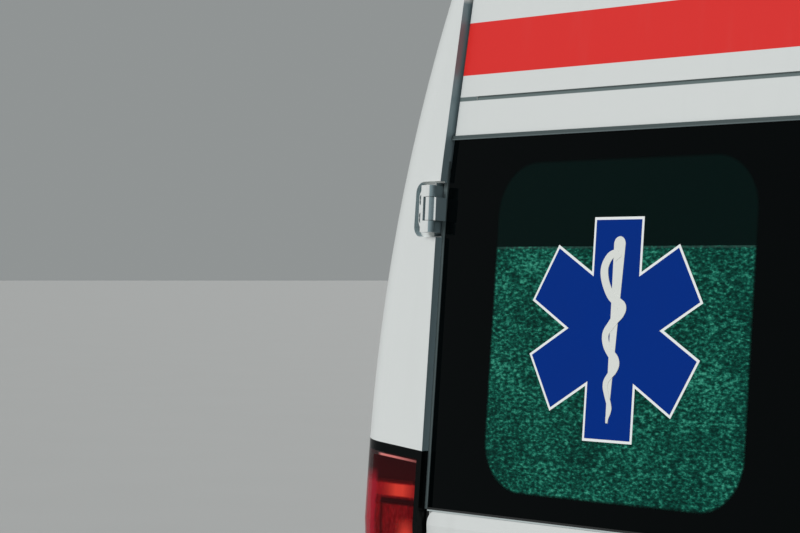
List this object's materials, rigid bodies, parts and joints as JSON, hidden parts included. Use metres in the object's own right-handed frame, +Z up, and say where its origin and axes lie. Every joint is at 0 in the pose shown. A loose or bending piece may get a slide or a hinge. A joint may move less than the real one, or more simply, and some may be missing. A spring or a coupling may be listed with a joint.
{
  "type": "ambulance",
  "caption": "High-roof panel-van ambulance: hollow body, swinging cab and rear doors, bonnet, steered front wheels, roof light bar, beacon, cot and cabinet inside.",
  "frame": {"origin": "on the ground, at the middle of the bounding box in plan", "axes": "-Y is the front of the vehicle, +X is its left side, +Z is up"},
  "size_m": [2.5022, 5.413, 2.66],
  "materials": {
    "aluminium_tube": "satin",
    "black_plastic": "grained",
    "blue_lens": "gloss",
    "cabinet_board": "satin",
    "cast_metal": "rough cast",
    "chassis_steel": "satin black",
    "exhaust_steel": "dull",
    "floor_paint": "satin",
    "glass": "clear",
    "hinge_paint": "gloss",
    "lamp_clear": "clear",
    "lamp_red": "gloss",
    "mattress_vinyl": "vinyl",
    "plate_white": "blank plate",
    "privacy_glass": "dark tint",
    "rim_steel": "silver paint",
    "seat_cloth": "woven",
    "trim_plastic": "grained",
    "tyre_rubber": "matte",
    "white_paint": "gloss",
    "white_plastic": "gloss"
  },
  "bodies": {
    "van_body": {"beacon_base": "white_plastic", "beacon_dome": "blue_lens", "body_side_left": "white_paint", "body_side_right": "white_paint", "bulkhead": "cabinet_board", "cab_frame": "white_paint", "cab_seats": "seat_cloth", "chassis_rails": "chassis_steel", "dashboard": "trim_plastic", "engine_block": "cast_metal", "equipment_cabinet": "cabinet_board", "exhaust": "exhaust_steel", "floor_pan": "floor_paint", "front_bumper": "black_plastic", "front_grille": "black_plastic", "front_subframe": "chassis_steel", "fuel_tank": "black_plastic", "headlamps": "lamp_clear", "high_brake_light": "lamp_red", "light_bar_base": "white_plastic", "light_bar_lens": "blue_lens", "rear_axle": "chassis_steel", "rear_bumper": "black_plastic", "rear_hinges": "hinge_paint", "roof_shell": "white_paint", "side_glass": "privacy_glass", "sliding_door": "white_paint", "socket_blocks": "chassis_steel", "spare_wheel": "tyre_rubber", "steering_wheel": "trim_plastic", "stretcher_frame": "aluminium_tube", "stretcher_mattress": "mattress_vinyl", "tail_lamps": "lamp_red", "windscreen": "glass", "wing_left": "white_paint", "wing_right": "white_paint"},
    "rear_door_left": {"rear_door_left": "white_paint", "rear_glass_left": "privacy_glass", "number_plate": "plate_white", "plate_lamp_bar": "black_plastic"},
    "rear_door_right": {"rear_door_right": "white_paint", "rear_glass_right": "privacy_glass", "rear_handle": "black_plastic"},
    "cab_door_left": {"cab_door_left": "white_paint", "cab_glass_left": "glass", "mirror_left": "black_plastic"},
    "cab_door_right": {"cab_door_right": "white_paint", "cab_glass_right": "glass", "mirror_right": "black_plastic"},
    "bonnet_lid": {"bonnet": "white_paint"},
    "steer_left": {"knuckle_left": "chassis_steel"},
    "steer_right": {"knuckle_right": "chassis_steel"},
    "wheel_front_left": {"rim_front_left": "rim_steel", "tyre_front_left": "tyre_rubber"},
    "wheel_front_right": {"rim_front_right": "rim_steel", "tyre_front_right": "tyre_rubber"},
    "wheel_rear_left": {"rim_rear_left": "rim_steel", "tyre_rear_left": "tyre_rubber"},
    "wheel_rear_right": {"rim_rear_right": "rim_steel", "tyre_rear_right": "tyre_rubber"}
  },
  "joints": [
    {"name": "rear_left_door_swing", "type": "hinge", "parent": "van_body", "child": "rear_door_left", "pos_m": [0.843, 2.6395, 1.3], "axis": [0, 0.0593, -0.9982], "range_deg": [0, 180]},
    {"name": "rear_right_door_swing", "type": "hinge", "parent": "van_body", "child": "rear_door_right", "pos_m": [-0.843, 2.6395, 1.3], "axis": [0, -0.0593, 0.9982], "range_deg": [0, 180]},
    {"name": "cab_left_door_swing", "type": "hinge", "parent": "van_body", "child": "cab_door_left", "pos_m": [1.02, -1.604, 1], "axis": [0, 0, -1], "range_deg": [0, 68]},
    {"name": "cab_right_door_swing", "type": "hinge", "parent": "van_body", "child": "cab_door_right", "pos_m": [-1.02, -1.604, 1], "axis": [0, 0, 1], "range_deg": [0, 68]},
    {"name": "bonnet_lift", "type": "hinge", "parent": "van_body", "child": "bonnet_lid", "pos_m": [0, -2.2, 1.232], "axis": [-1, 0, 0], "range_deg": [0, 50]},
    {"name": "steer_left_turn", "type": "hinge", "parent": "van_body", "child": "steer_left", "pos_m": [0.745, -1.7585, 0.341], "axis": [0, 0, 1], "range_deg": [-35, 35]},
    {"name": "steer_right_turn", "type": "hinge", "parent": "van_body", "child": "steer_right", "pos_m": [-0.745, -1.7585, 0.341], "axis": [0, 0, 1], "range_deg": [-35, 35]},
    {"name": "front_left_roll", "type": "hinge", "parent": "steer_left", "child": "wheel_front_left", "pos_m": [0.905, -1.7585, 0.341], "axis": [1, 0, 0], "continuous": true},
    {"name": "front_right_roll", "type": "hinge", "parent": "steer_right", "child": "wheel_front_right", "pos_m": [-0.905, -1.7585, 0.341], "axis": [1, 0, 0], "continuous": true},
    {"name": "rear_left_roll", "type": "hinge", "parent": "van_body", "child": "wheel_rear_left", "pos_m": [0.895, 1.6915, 0.341], "axis": [1, 0, 0], "continuous": true},
    {"name": "rear_right_roll", "type": "hinge", "parent": "van_body", "child": "wheel_rear_right", "pos_m": [-0.895, 1.6915, 0.341], "axis": [1, 0, 0], "continuous": true}
  ],
  "couplings": [
    {"joint": "steer_right_turn", "follows": "steer_left_turn", "ratio": 1}
  ]
}
